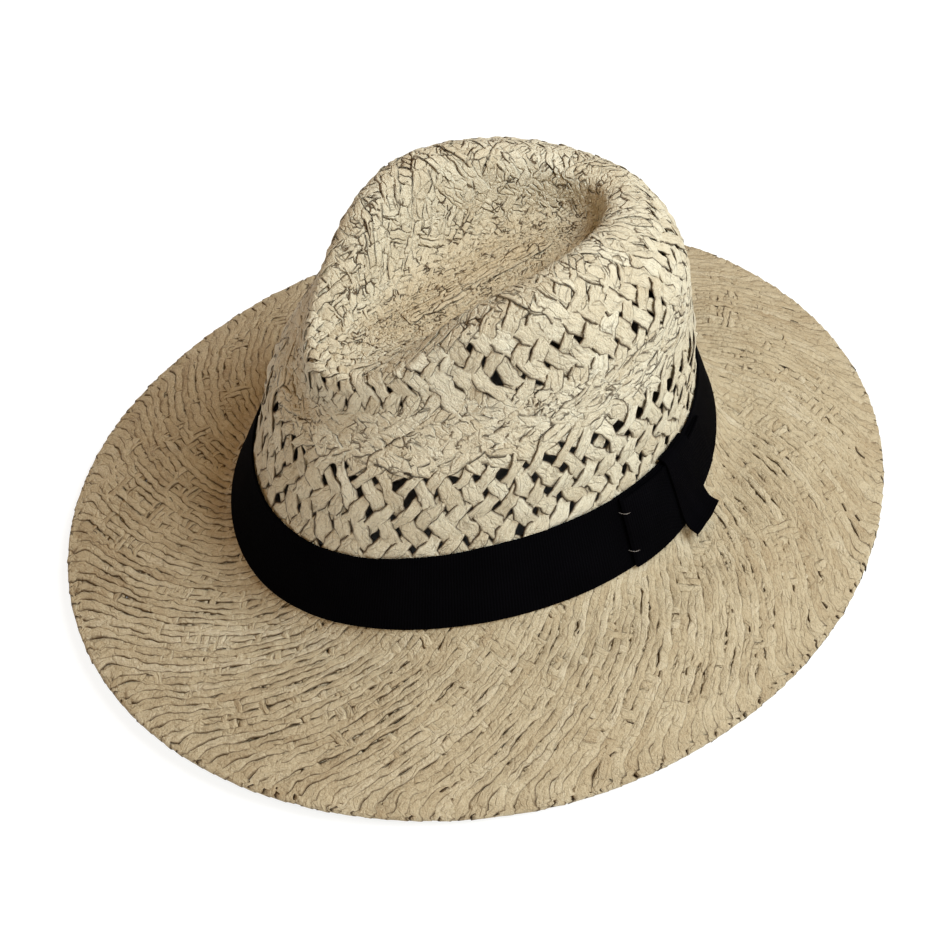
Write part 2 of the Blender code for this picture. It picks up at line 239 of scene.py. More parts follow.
# ------------------------------------------------------------ mesh making
def add_object(name, data):
    made = bpy.data.objects.new(name, data)
    bpy.context.collection.objects.link(made)
    return made


def mesh_object(name, points, quads, fans=(), attributes=None):
    """Smooth-shaded object from millimetre points, quads and larger faces."""
    mesh = bpy.data.meshes.new(name)
    points = np.asarray(points, dtype=np.float32).reshape(-1, 3) * MM
    quads = np.asarray(quads, dtype=np.int32).reshape(-1, 4)
    sizes = np.concatenate([np.full(len(quads), 4), [len(f) for f in fans]]).astype(np.int32)
    corners = [quads.reshape(-1)] + [np.asarray(f, dtype=np.int32) for f in fans]
    corners = np.concatenate(corners).astype(np.int32)
    mesh.vertices.add(len(points))
    mesh.vertices.foreach_set("co", points.reshape(-1))
    mesh.loops.add(len(corners))
    mesh.loops.foreach_set("vertex_index", corners)
    mesh.polygons.add(len(sizes))
    starts = np.concatenate([[0], np.cumsum(sizes)[:-1]]).astype(np.int32)
    mesh.polygons.foreach_set("loop_start", starts)
    mesh.polygons.foreach_set("use_smooth", np.ones(len(sizes), dtype=bool))
    mesh.update(calc_edges=True)
    mesh.validate()
    for key, values in (attributes or {}).items():
        layer = mesh.attributes.new(key, "FLOAT_VECTOR", "POINT")
        layer.data.foreach_set("vector", np.asarray(values, dtype=np.float32).reshape(-1))
    return add_object(name, mesh)


def grid_quads(rows, columns, wrap_rows=False, wrap_columns=False):
    """Quads of a grid of points numbered row by row."""
    r = np.arange(rows if wrap_rows else rows - 1)
    c = np.arange(columns if wrap_columns else columns - 1)
    r, c = np.meshgrid(r, c, indexing="ij")
    r1 = (r + 1) % rows
    c1 = (c + 1) % columns
    quads = np.stack([r * columns + c, r1 * columns + c, r1 * columns + c1, r * columns + c1], -1)
    return quads.reshape(-1, 4)


# ------------------------------------------------------------ straw strands
BRIM_STRANDS = 184
BRIM_SPAN = (-15.0, 74.0)
BRIM_STEPS = 3
BRIM_SLANT = ((-15.0, 10.0), (0.5, 10.0), (7.0, 54.0), (60.0, 36.0), (75.0, 34.0))
FOLD_END = 3.0
FOLD_STEP = 0.6

CROWN_STRANDS = 54
CROWN_SPAN = (86.0, 231.6)
CROWN_STEPS = 4
CROWN_SLANT = ((84.0, 34.0), (136.5, 32.0), (140.0, 67.0), (150.5, 67.0), (154.0, 35.0),
               (171.0, 36.0), (182.0, 30.0), (198.0, 33.0), (210.0, 60.0), (232.0, 64.0))
LOW_VENTS_END = 137.0
HIGH_VENTS = (153.0, 172.0)

ROW_TILT = 20.0
ROW_TILT_FOCUS = 3.4
ROW_TILT_SHARE = ((137.0, 0.0), (156.0, 1.0), (172.0, 1.0), (226.0, 0.0))
ANY_STATION = -100.0
TEXTURE_SHIFT = 400.0
SPIRAL_STEP = 0.25

# Cross-sections of a strand as (share of half width, height) pairs.
BRIM_SECTION = ((-1.0, -0.30), (-0.88, 0.46), (-0.25, 0.43), (0.45, 0.18), (1.0, -0.22),
                (0.0, -0.46))
CROWN_SECTION = ((-1.0, -0.16), (-0.72, 0.32), (-0.12, 0.04), (0.10, 0.10), (0.66, 0.36),
                 (1.0, -0.16), (0.5, -0.36), (-0.5, -0.36))


def profile(at, stops):
    """Straight stretches between (place, value) stops."""
    places, values = zip(*stops)
    return np.interp(at, places, values)


def smooth_noise(rng, count, length, period):
    """Random curves between -1 and 1, one row per strand."""
    knots = max(int(length / period) + 3, 4)
    values = rng.uniform(-1.0, 1.0, (count, knots))
    at = np.linspace(0.0, knots - 1.001, length)
    low = at.astype(int)
    share = at - low
    share = share * share * (3.0 - 2.0 * share)
    return values[:, low] * (1.0 - share) + values[:, low + 1] * share


class Patches:
    """Smooth random field over the hat: read with turn angle and station."""

    rows = 40
    first = -20.0

    def __init__(self, rng, cells, patch):
        self.table = rng.uniform(0.0, 1.0, (cells, self.rows))
        self.cells = cells
        self.patch = patch

    def read(self, theta, station):
        column = theta / (2.0 * math.pi) % 1.0 * self.cells
        row = np.clip((station - self.first) / self.patch, 0.0, self.rows - 1.1)
        c0 = column.astype(int) % self.cells
        r0 = row.astype(int)
        fc = column - np.floor(column)
        fr = row - r0
        fc = fc * fc * (3.0 - 2.0 * fc)
        fr = fr * fr * (3.0 - 2.0 * fr)
        c1 = (c0 + 1) % self.cells
        low = self.table[c0, r0] * (1.0 - fc) + self.table[c1, r0] * fc
        high = self.table[c0, r0 + 1] * (1.0 - fc) + self.table[c1, r0 + 1] * fc
        return low * (1.0 - fr) + high * fr


def row_tilt(theta, row):
    """How far a row of the upper weave climbs above its station near the front."""
    front = ((1.0 + np.cos(theta)) / 2.0) ** ROW_TILT_FOCUS
    return profile(row, ROW_TILT_SHARE) * (ROW_TILT * front - 1.0)


class Weave:
    """Two families of strands that spiral opposite ways over one stretch."""

    def __init__(self, count, span, slant, steps):
        self.count = count
        self.spacing = 2.0 * math.pi / count
        fine = np.arange(span[0], span[1] + 0.01, SPIRAL_STEP)
        rows = np.interp(fine, SURFACE.stations, np.arange(len(SURFACE.stations)))
        rows = np.round(rows).astype(int)
        around = np.linalg.norm(SURFACE.around, axis=-1).mean(axis=1)[rows]
        along = np.linalg.norm(SURFACE.along, axis=-1).mean(axis=1)[rows]
        rate = np.tan(np.radians(profile(fine, slant))) * along / around
        sweep = np.concatenate([[0.0], np.cumsum(0.5 * (rate[1:] + rate[:-1]) * SPIRAL_STEP)])
        crossing = 2.0 * sweep / self.spacing
        total = int(crossing[-1] * steps)
        fold = np.interp(np.arange(span[0], FOLD_END, FOLD_STEP), fine, crossing)
        self.crossing = np.union1d(np.arange(total + 1) / steps, fold)
        self.station = np.interp(self.crossing, crossing, fine)
        self.sweep = 0.5 * self.crossing * self.spacing

    def heights(self, pattern, sign, index):
        """Over (+1) or under (-1) of the strands at every step."""
        whole = np.arange(int(self.crossing[-1]) + 2)
        station = np.interp(whole, self.crossing, self.station)[None, :]
        if sign > 0:
            over = pattern(index, index + whole[None, :], station)
        else:
            over = ~pattern(index - whole[None, :], index, station)
        level = np.where(over, 1.0, -1.0)
        low = np.floor(self.crossing + 1e-6).astype(int)
        share = self.crossing - low
        share = share * share * (3.0 - 2.0 * share)
        return level[:, low] * (1.0 - share) + level[:, low + 1] * share

    def strands(self, name, sign, first, last, pattern, style, rng):
        """Closed strands number first to last of one family."""
        index = np.arange(first, last)[:, None]
        kept = self.station > (style.cross_start if sign < 0 else ANY_STATION)
        height = self.heights(pattern, sign, index)[:, kept]
        theta = index * self.spacing + sign * self.sweep[None, kept]
        row = np.broadcast_to(self.station[None, kept], theta.shape)
        station = row + row_tilt(theta, row)
        centre = SURFACE.read(SURFACE.points, theta, station)
        around = SURFACE.read(SURFACE.around, theta, station)
        normal = SURFACE.normal_at(theta, station)
        tangent = np.gradient(centre, axis=1)
        travel = np.linalg.norm(tangent, axis=-1)
        tangent /= np.maximum(travel[..., None], 1e-6)
        side = np.cross(normal, tangent)
        side /= np.maximum(np.linalg.norm(side, axis=-1, keepdims=True), 1e-6)
        pitch = np.abs(np.einsum("ijk,ijk->ij", around, side)) * self.spacing
        relief = style.relief(theta, row)
        fill = style.fill(theta, row, relief)
        width = np.maximum(pitch * fill, 0.5)
        run = {"centre": centre, "side": side, "normal": normal, "pitch": pitch, "width": width,
               "height": height, "relief": relief, "row": row, "travel": travel,
               "beat": np.broadcast_to(self.crossing[None, kept], theta.shape)}
        return strand_skin(name, run, style, rng)


def strand_skin(name, run, style, rng):
    """Crumpled closed strands around the given centre lines.

    The mesh keeps two attributes for the material: strand is the place across the strand,
    the distance along it in centimetres and its tone, and zone is its width in centimetres
    and its station.
    """
    centre, side, normal = run["centre"], run["side"], run["normal"]
    relief, height, travel = run["relief"], run["height"], run["travel"]
    count, length = relief.shape
    rough = style.rough
    loose = np.clip(relief, 0.0, 1.0)
    calm = 0.25 + 0.75 * loose

    def wobble(*waves):
        """Sum of random curves, each given as a size and a period in steps."""
        return rough * sum(size * smooth_noise(rng, count, length, period) for size, period in waves)

    blob = 1.0 + style.bulge * loose * height * np.cos(2.0 * math.pi * run["beat"])
    width = run["width"] * blob * (1.0 + wobble((0.15, 7.0), (0.10, 2.4)))
    sway = run["pitch"] * wobble((style.wander, 13.0), (0.13, 5.0), (0.08, 2.2))
    bob = calm * wobble((style.bob, 3.5))
    twist = calm * wobble((0.16, 5.0))
    lift = style.wave * relief * height - style.depth + bob
    centre = centre + side * sway[..., None] + normal * lift[..., None]
    tilted = side * np.cos(twist)[..., None] + normal * np.sin(twist)[..., None]
    raised = normal * np.cos(twist)[..., None] - side * np.sin(twist)[..., None]
    size = len(style.section)
    crumple = smooth_noise(rng, count * size, length, 2.6).reshape(count, size, length)
    crumple = rough * style.crumple * crumple.transpose(0, 2, 1) * calm[..., None]
    across = np.array([s[0] for s in style.section]) * (1.0 + 0.35 * crumple)
    rise = np.array([s[1] for s in style.section]) * (0.45 + 0.55 * relief[..., None]) + crumple
    points = (centre[:, :, None, :]
              + tilted[:, :, None, :] * (0.5 * width[..., None] * across)[..., None]
              + raised[:, :, None, :] * rise[..., None])
    distance = np.cumsum(travel, axis=1) + rng.uniform(0.0, TEXTURE_SHIFT, (count, 1))
    tone = rng.uniform(0.0, 1.0, (count, 1)) + 0.4 * smooth_noise(rng, count, length, 8.0)
    strand = np.empty(points.shape)
    strand[..., 0] = np.array([s[0] for s in style.section])
    strand[..., 1] = (0.1 * distance)[..., None]
    strand[..., 2] = tone[..., None]
    zone = np.zeros(points.shape)
    zone[..., 0] = (0.1 * width)[..., None]
    zone[..., 1] = run["row"][..., None]
    single = grid_quads(length, size, wrap_columns=True)
    starts = np.arange(count) * (length * size)
    quads = (single[None, :, :] + starts[:, None, None]).reshape(-1, 4)
    ends = []
    for start in starts:
        ends.append([start + k for k in range(size)][::-1])
        ends.append([start + (length - 1) * size + k for k in range(size)])
    made = mesh_object(name, points, quads, ends, {"strand": strand, "zone": zone})
    return dress(made, "straw_body", straw_material())


# A style says how high its strands weave (wave), how deep they lie in the shell (depth), how
# uneven they are (rough, crumple, bob, bulge, wander) and where the second family starts.
# Relief is the share of the full weave height, and fill is the strand width over its pitch.
class BrimStyle:
    """Tight flat straw with ridges that run out to the turned-under edge."""

    section = BRIM_SECTION
    wave = 0.30
    depth = 0.62
    rough = 1.3
    crumple = 0.15
    bob = 0.10
    bulge = 0.0
    wander = 0.16
    cross_start = 6.0
    hem_relief = ((2.0, 0.12), (7.0, 1.0))
    hem_fill = ((0.0, 0.0), (3.0, 0.45), (9.0, 0.30), (14.0, 0.0))
    plain_rows = 10.0
    cross_blocks = 0.14
    cross_in_block = 0.42
    cross_elsewhere = 0.06

    def __init__(self, rng):
        self.patches = Patches(rng, 34, 17.0)
        self.small = Patches(rng, 90, 7.0)

    def relief(self, theta, row):
        field = 0.6 * self.patches.read(theta, row) + 0.4 * self.small.read(theta, row)
        return profile(row, self.hem_relief) * np.clip(0.40 + 2.4 * (field - 0.26), 0.30, 1.2)

    def fill(self, theta, row, relief):
        return 1.50 - 0.18 * relief + profile(row, self.hem_fill)

    def pattern(self, rng, count):
        """Ridges on top nearly everywhere; the cross strands show in blocks of 3 by 4."""
        chance = rng.uniform(0.0, 1.0, (count, count))

        def over(i, j, row):
            pick = chance[i % count, j % count]
            block = chance[j // 4 % count, i // 3 % count]
            share = np.where(block < self.cross_blocks, self.cross_in_block, self.cross_elsewhere)
            return (row < self.plain_rows) | (pick > share)
        return over


class CrownStyle:
    """Open weave with two belts of vents; elsewhere the strands are wide and flat."""

    section = CROWN_SECTION
    wave = 0.55
    depth = 0.62
    rough = 1.25
    crumple = 0.13
    bob = 0.11
    bulge = 0.24
    wander = 0.04
    cross_start = ANY_STATION
    looseness = ((88.0, 0.6), (96.0, 1.0), (135.0, 1.0), (139.0, 0.16), (152.0, 0.16),
                 (155.0, 0.9), (169.0, 0.8), (176.0, 0.26))
    cover = ((88.0, 1.0), (98.0, 0.83), (112.0, 0.80), (126.0, 0.77), (131.0, 0.58),
             (134.5, 0.60), (138.0, 1.1), (141.0, 2.2), (150.0, 2.2), (152.0, 1.2),
             (154.0, 1.0), (156.0, 0.82), (163.0, 0.84), (168.0, 0.98), (172.0, 1.0),
             (178.0, 1.20), (232.0, 1.3))
    slips_in_vents = 0.06
    slips_elsewhere = 0.45

    def __init__(self, rng):
        self.patches = Patches(rng, 26, 14.0)
        self.openness = Patches(rng, 60, 5.0)

    def relief(self, theta, row):
        return profile(row, self.looseness) * (0.60 + 0.70 * self.patches.read(theta, row))

    def fill(self, theta, row, relief):
        spread = self.openness.read(theta, row) - 0.5
        return profile(row, self.cover) * (1.0 + 0.38 * spread)

    def pattern(self, rng, count):
        """Plain weave; a strand slips over or under out of turn now and then."""
        chance = rng.uniform(0.0, 1.0, (count, count))

        def over(i, j, row):
            pick = chance[i % count, j % count]
            plain = (i + j) % 2 == 0
            vents = (row < LOW_VENTS_END) | ((row > HIGH_VENTS[0]) & (row < HIGH_VENTS[1]))
            slips = np.where(vents, self.slips_in_vents, self.slips_elsewhere)
            return np.where(pick < slips, ~plain, plain)
        return over


class SeamStyle(CrownStyle):
    """Crown straw that lies flat along a seam."""

    wave = 0.0
    depth = 0.0


SEAM_STATION = 230.5
SEAM_OFFSETS = (-1.5, 0.1, 1.6)
SEAM_RISES = (-0.1, 0.05, -0.1)
SEAM_STEPS = 46
SEAM_WIDTH = 3.4


def dent_seam(style, rng):
    """Three crumpled strands along the bottom of the dent, where the weave ends."""
    theta = np.broadcast_to(np.linspace(0.06, 3.08, SEAM_STEPS), (3, SEAM_STEPS))
    centre = SURFACE.read(SURFACE.points, theta, np.full(theta.shape, SEAM_STATION))
    centre[..., 0] = np.array(SEAM_OFFSETS)[:, None]
    centre[..., 2] += np.array(SEAM_RISES)[:, None]
    flat = np.ones(theta.shape)
    travel = np.linalg.norm(np.gradient(centre, axis=1), axis=-1)
    run = {"centre": centre, "side": np.broadcast_to([-1.0, 0.0, 0.0], centre.shape),
           "normal": np.broadcast_to([0.0, 0.0, 1.0], centre.shape), "pitch": 3.0 * flat,
           "width": SEAM_WIDTH * flat, "height": flat, "relief": 0.6 * flat,
           "row": SEAM_STATION * flat, "travel": travel, "beat": flat}
    return strand_skin("straw_dent_seam", run, style, rng)


def straw_body():
    rng = np.random.default_rng(SEED)
    brim = Weave(BRIM_STRANDS, BRIM_SPAN, BRIM_SLANT, BRIM_STEPS)
    crown = Weave(CROWN_STRANDS, CROWN_SPAN, CROWN_SLANT, CROWN_STEPS)
    plans = (("brim", brim, BrimStyle(rng)), ("crown", crown, CrownStyle(rng)))
    for zone, weave, style in plans:
        pattern = style.pattern(rng, weave.count)
        half = weave.count // 2
        for family, sign in (("ridges", 1), ("cross", -1)):
            for side, first in (("left", 0), ("right", half)):
                name = f"straw_{zone}_{family}_{side}"
                weave.strands(name, sign, first, first + half, pattern, style, rng)
    dent_seam(SeamStyle(rng), rng)


# --------------------------------------------------------------- materials
TONE_STOPS = (0.30, 0.47, 0.61, 0.80)
# The crown tones are paler than the brim's: partly the straw's own tone, partly painted sheen on the
# crown.
BRIM_TONES = ((0.35, 0.265, 0.158), (0.45, 0.375, 0.245), (0.51, 0.440, 0.300),
              (0.61, 0.550, 0.410))
CROWN_TONES = ((0.48, 0.400, 0.260), (0.60, 0.540, 0.395), (0.66, 0.615, 0.470),
               (0.76, 0.730, 0.590))
# Painted shade: dark brown laid on strand edges, creases and cracks, where shade falls between and
# inside the strands.
STRAW_CREVICE_SHADE = (0.075, 0.040, 0.014)
# Painted shade: warm brown laid over the bottom of the crown dent, where shade falls.
DENT_PAINTED_SHADE = (0.52, 0.390, 0.215)


class Wiring:
    """Short way to wire a node tree."""

    def __init__(self, tree):
        self.tree = tree

    def add(self, kind, **settings):
        node = self.tree.nodes.new(kind)
        for key, value in settings.items():
            setattr(node, key, value)
        return node

    def feed(self, socket, value):
        if isinstance(value, (int, float)):
            socket.default_value = value
        elif isinstance(value, tuple):
            socket.default_value = (*value, 1.0)
        else:
            self.tree.links.new(value, socket)

    def math(self, operation, *values):
        node = self.add("ShaderNodeMath", operation=operation)
        for socket, value in zip(node.inputs, values):
            self.feed(socket, value)
        return node.outputs[0]

    def total(self, *pairs):
        """Weighted sum of (weight, value) pairs."""
        result = 0.0
        for weight, value in pairs:
            result = self.math("MULTIPLY_ADD", value, weight, result)
        return result

    def span(self, value, low, high, start=0.0, end=1.0):
        node = self.add("ShaderNodeMapRange")
        for socket, number in zip(node.inputs, (value, low, high, start, end)):
            self.feed(socket, number)
        return node.outputs[0]

    def between(self, value, rise, fall):
        """1 between two slopes, each given by where it starts and ends."""
        return self.math("MULTIPLY", self.span(value, *rise), self.span(value, *fall, 1.0, 0.0))

    def ramp(self, value, stops):
        node = self.add("ShaderNodeValToRGB")
        ramp = node.color_ramp
        while len(ramp.elements) < len(stops):
            ramp.elements.new(0.5)
        for element, (at, colour) in zip(ramp.elements, stops):
            element.position = at
            element.color = (*colour, 1.0)
        self.feed(node.inputs[0], value)
        return node.outputs[0]

    def mix(self, share, a, b):
        node = self.add("ShaderNodeMix", data_type="RGBA")
        for socket, value in ((node.inputs[0], share), (node.inputs[6], a), (node.inputs[7], b)):
            self.feed(socket, value)
        return node.outputs[2]

    def noise(self, vector, scale, detail=3.0, roughness=0.5):
        node = self.add("ShaderNodeTexNoise")
        node.inputs["Scale"].default_value = scale
        node.inputs["Detail"].default_value = detail
        node.inputs["Roughness"].default_value = roughness
        self.feed(node.inputs["Vector"], vector)
        return node.outputs["Fac"]

    def cracks(self, vector, sway, scale):
        """Distance to the nearest border between irregular cells."""
        bend = self.add("ShaderNodeTexNoise")
        bend.inputs["Scale"].default_value = 300.0
        self.feed(bend.inputs["Vector"], sway)
        moved = self.add("ShaderNodeVectorMath", operation="MULTIPLY_ADD")
        self.feed(moved.inputs[0], bend.outputs["Color"])
        moved.inputs[1].default_value = (0.55, 0.55, 0.55)
        self.feed(moved.inputs[2], vector)
        node = self.add("ShaderNodeTexVoronoi", feature="DISTANCE_TO_EDGE")
        node.inputs["Scale"].default_value = scale
        self.feed(node.inputs["Vector"], moved.outputs[0])
        return node.outputs["Distance"]

    def stretched(self, vector, scale):
        node = self.add("ShaderNodeMapping")
        node.inputs["Scale"].default_value = scale
        self.feed(node.inputs["Vector"], vector)
        return node.outputs["Vector"]

    def attribute(self, name):
        return self.add("ShaderNodeAttribute", attribute_name=name).outputs["Vector"]

    def parts(self, vector):
        parts = self.add("ShaderNodeSeparateXYZ")
        self.feed(parts.inputs[0], vector)
        return parts.outputs


class Paint(Wiring):
    """Node material with one shader."""

    def __init__(self, name):
        self.material = bpy.data.materials.new(name)
        self.material.use_nodes = True
        super().__init__(self.material.node_tree)
        self.shader = self.tree.nodes["Principled BSDF"]

    def bump(self, height, strength, distance):
        node = self.add("ShaderNodeBump")
        node.inputs["Strength"].default_value = strength
        node.inputs["Distance"].default_value = distance
        self.feed(node.inputs["Height"], height)
        self.feed(self.shader.inputs["Normal"], node.outputs["Normal"])

    def finish(self, colour, roughness, specular):
        self.feed(self.shader.inputs["Base Color"], colour)
        self.shader.inputs["Roughness"].default_value = roughness
        self.shader.inputs["Specular IOR Level"].default_value = specular
        return self.material


@functools.cache
def straw_material():
    """Crumpled paper straw: lengthwise creases, fine cracks, cream crown, tan brim. Painted shade
    darkens the cracks, creases, strand edges and the bottom of the dent; the crown's paler cream is
    partly the straw's own tone and partly painted sheen.
    """
    n = Paint("straw")
    across, along, tone = n.parts(n.attribute("strand"))
    width, row, _ = n.parts(n.attribute("zone"))
    flat = n.add("ShaderNodeCombineXYZ")
    n.feed(flat.inputs[0], n.math("MULTIPLY", across, n.math("MULTIPLY", width, 0.5)))
    n.feed(flat.inputs[1], along)
    n.feed(flat.inputs[2], tone)
    flat = flat.outputs[0]
    place = n.add("ShaderNodeTexCoord").outputs["Object"]
    vents = n.math("MAXIMUM", n.between(row, (84.0, 92.0), (136.0, 140.0)),
                   n.between(row, (151.0, 154.0), (170.0, 176.0)))
    crown_part = n.span(row, 70.0, 86.0)
    belt = n.between(row, (137.0, 141.0), (149.0, 152.0))
    dense = n.math("MULTIPLY", crown_part, n.total((-1.0, vents), (-0.25, belt), (1.0, 1.0)))
    creases = n.noise(n.stretched(flat, (6.0, 1.3, 7.0)), 1.0, 4.0, 0.6)
    ridged = n.math("ABSOLUTE", n.math("MULTIPLY_ADD", creases, 2.0, -1.0))
    fibres = n.noise(n.stretched(flat, (18.0, 3.0, 9.0)), 1.0, 3.0, 0.65)
    lumps = n.noise(place, 620.0, 3.0, 0.7)
    grain = n.noise(place, 1700.0, 2.0, 0.7)
    cloud = n.noise(place, 26.0, 4.0, 0.6)
    cells = n.cracks(n.stretched(flat, (2.9, 1.5, 1.6)), place, 1.0)
    broken = n.span(n.noise(place, 150.0, 2.0, 0.5), 0.49, 0.58)
    crack = n.math("MULTIPLY", n.span(cells, 0.060, 0.015), broken)
    crack = n.math("MULTIPLY", crack, n.total((0.65, dense), (0.10, crown_part), (0.15, 1.0)))
    mixed = n.total((0.16, tone), (0.38, fibres), (0.30, cloud), (0.25, lumps))
    brim = n.ramp(mixed, list(zip(TONE_STOPS, BRIM_TONES)))
    crown = n.ramp(mixed, list(zip(TONE_STOPS, CROWN_TONES)))
    # Crown paler than brim: partly own tone, partly painted sheen.
    colour = n.mix(crown_part, brim, crown)
    # Painted shade: the straw turns brown toward the bottom of the dent.
    colour = n.mix(n.span(row, 200.0, 222.0, 0.0, 0.45), colour, DENT_PAINTED_SHADE)
    # Painted shade on the strand edges, where the gaps between strands lie in shade; weaker in the
    # dense zones.
    edge = n.math("MULTIPLY", n.span(n.math("ABSOLUTE", across), 0.74, 0.98),
                  n.total((-0.35, dense), (0.95, 1.0)))
    colour = n.mix(edge, colour, STRAW_CREVICE_SHADE)
    # Painted shade along the crease lines of the crumpled straw.
    crease = n.span(ridged, 0.05, 0.0, 0.0, 0.35)
    colour = n.mix(crease, colour, STRAW_CREVICE_SHADE)
    # Painted shade in the cracks; the same crack mask also sinks the bump below.
    colour = n.mix(crack, colour, STRAW_CREVICE_SHADE)
    cobbles = n.math("MULTIPLY", n.span(cells, 0.0, 0.12), n.total((0.45, dense), (0.25, 1.0)))
    relief_map = n.total((0.22, ridged), (0.18, fibres), (0.55, lumps), (0.45, grain),
                         (-0.6, crack), (0.7, cobbles))
    n.bump(relief_map, 1.0, 0.0012)
    return n.finish(colour, 0.7, 0.25)


@functools.cache
def ribbon_material():
    """Black grosgrain: fine ribs across the ribbon, matte."""
    n = Paint("ribbon")
    weave = n.attribute("weave")
    ribs = n.add("ShaderNodeTexWave", wave_type="BANDS", bands_direction="X")
    ribs.inputs["Scale"].default_value = 0.30
    ribs.inputs["Distortion"].default_value = 0.5
    ribs.inputs["Detail"].default_value = 2.0
    ribs.inputs["Detail Scale"].default_value = 0.6
    n.feed(ribs.inputs["Vector"], weave)
    yarn = n.noise(n.stretched(weave, (0.9, 4.5, 1.0)), 1.0, 3.0, 0.6)
    cloud = n.noise(weave, 0.05, 3.0, 0.5)
    mixed = n.total((0.6, yarn), (0.4, cloud))
    colour = n.ramp(mixed, [(0.3, (0.0004, 0.0004, 0.0006)), (0.7, (0.0018, 0.0017, 0.0026))])
    n.bump(n.total((1.0, ribs.outputs["Fac"]), (0.5, yarn)), 0.7, 0.0003)
    return n.finish(colour, 0.9, 0.015)


@functools.cache
def thread_material():
    """Grey sewing thread with a visible twist."""
    n = Paint("thread")
    place = n.add("ShaderNodeTexCoord").outputs["Object"]
    twist = n.noise(place, 4200.0, 2.0, 0.6)
    colour = n.ramp(twist, [(0.3, (0.09, 0.08, 0.07)), (0.7, (0.26, 0.24, 0.22))])
    n.bump(twist, 0.6, 0.0002)
    return n.finish(colour, 0.7, 0.2)


@functools.cache
def lining_material():
    """Black cotton twill of the sweatband: diagonal ribs and a soft nap."""
    n = Paint("lining")
    weave = n.attribute("weave")
    ribs = n.add("ShaderNodeTexWave", wave_type="BANDS", bands_direction="DIAGONAL")
    ribs.inputs["Scale"].default_value = 0.42
    ribs.inputs["Distortion"].default_value = 0.4
    n.feed(ribs.inputs["Vector"], weave)
    nap = n.noise(weave, 1.4, 4.0, 0.6)
    mixed = n.total((0.5, ribs.outputs["Fac"]), (0.5, nap))
    colour = n.ramp(mixed, [(0.2, (0.006, 0.006, 0.008)), (0.8, (0.022, 0.022, 0.026))])
    n.bump(mixed, 0.8, 0.0003)
    return n.finish(colour, 0.9, 0.15)


@functools.cache
def label_material():
    """Woven white satin label, blank."""
    n = Paint("label")
    weave = n.attribute("weave")
    yarn = n.noise(n.stretched(weave, (6.0, 1.2, 1.0)), 1.0, 3.0, 0.6)
    colour = n.ramp(yarn, [(0.3, (0.66, 0.65, 0.62)), (0.7, (0.83, 0.82, 0.80))])
    n.bump(yarn, 0.5, 0.0002)
    return n.finish(colour, 0.5, 0.4)


@functools.cache
def wire_material():
    """Steel wire with a dull drawn surface."""
    n = Paint("edge_wire")
    place = n.add("ShaderNodeTexCoord").outputs["Object"]
    marks = n.noise(place, 900.0, 3.0, 0.6)
    colour = n.ramp(marks, [(0.3, (0.42, 0.42, 0.43)), (0.7, (0.60, 0.60, 0.62))])
    n.shader.inputs["Metallic"].default_value = 1.0
    return n.finish(colour, 0.4, 0.5)


def dress(piece, node, material):
    piece.data.materials.append(material)
    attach(piece, "root")
    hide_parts(node)
    return piece


# ------------------------------------------------------------ ribbon and bow
BAND_RADIUS = 92.0
BAND_HEIGHT = 33.0
BOW_CENTRE_ANGLE = 116.4
BOW_FRONT_ANGLE = 95.5
BOW_REAR_ANGLE = 131.0
BOW_SPLIT = 0.6
BOW_PLY = 0.7
BOW_AIR = 0.35
BOW_SWELL = 0.25
KNOT_HALF_ANGLE = 5.2
KNOT_LIFT = 3.0
KNOT_FLARE = 7.9


def band_rows(theta, height, lift):
    """Points on the band face; height and lift may vary with theta."""
    low = band_bottom(theta)
    top = band_top(theta)
    out = np.stack([low[..., 0], low[..., 1], np.zeros(theta.shape)], axis=-1)
    out /= np.linalg.norm(out, axis=-1, keepdims=True)
    height = np.broadcast_to(height, theta.shape)[..., None]
    lift = np.broadcast_to(lift, theta.shape)[..., None]
    return low * (1.0 - height) + top * height + out * lift


def closed_sheet(name, outer, inner, weave, wrap=False):
    """Solid sheet between two grids; the open borders are closed with walls."""
    rows, columns = outer.shape[:2]
    count = rows * columns
    face = grid_quads(rows, columns, wrap_columns=wrap)
    quads = [face[:, ::-1], face + count]
    if wrap:
        borders = [np.arange(columns)[::-1], np.arange(columns) + (rows - 1) * columns]
    else:
        top = np.arange(columns - 1, -1, -1)
        left = np.arange(1, rows) * columns
        bottom = (rows - 1) * columns + np.arange(1, columns)
        right = np.arange(rows - 2, 0, -1) * columns + columns - 1
        borders = [np.concatenate([top, left, bottom, right])]
    for border in borders:
        ahead = np.roll(border, -1)
        quads.append(np.stack([border, border + count, ahead + count, ahead], -1)[:, ::-1])
    points = np.concatenate([outer.reshape(-1, 3), inner.reshape(-1, 3)])
    record = np.concatenate([weave.reshape(-1, 3)] * 2)
    made = mesh_object(name, points, np.concatenate(quads), (), {"weave": record})
    made.data.set_sharp_from_angle(angle=math.radians(50.0))
    return made


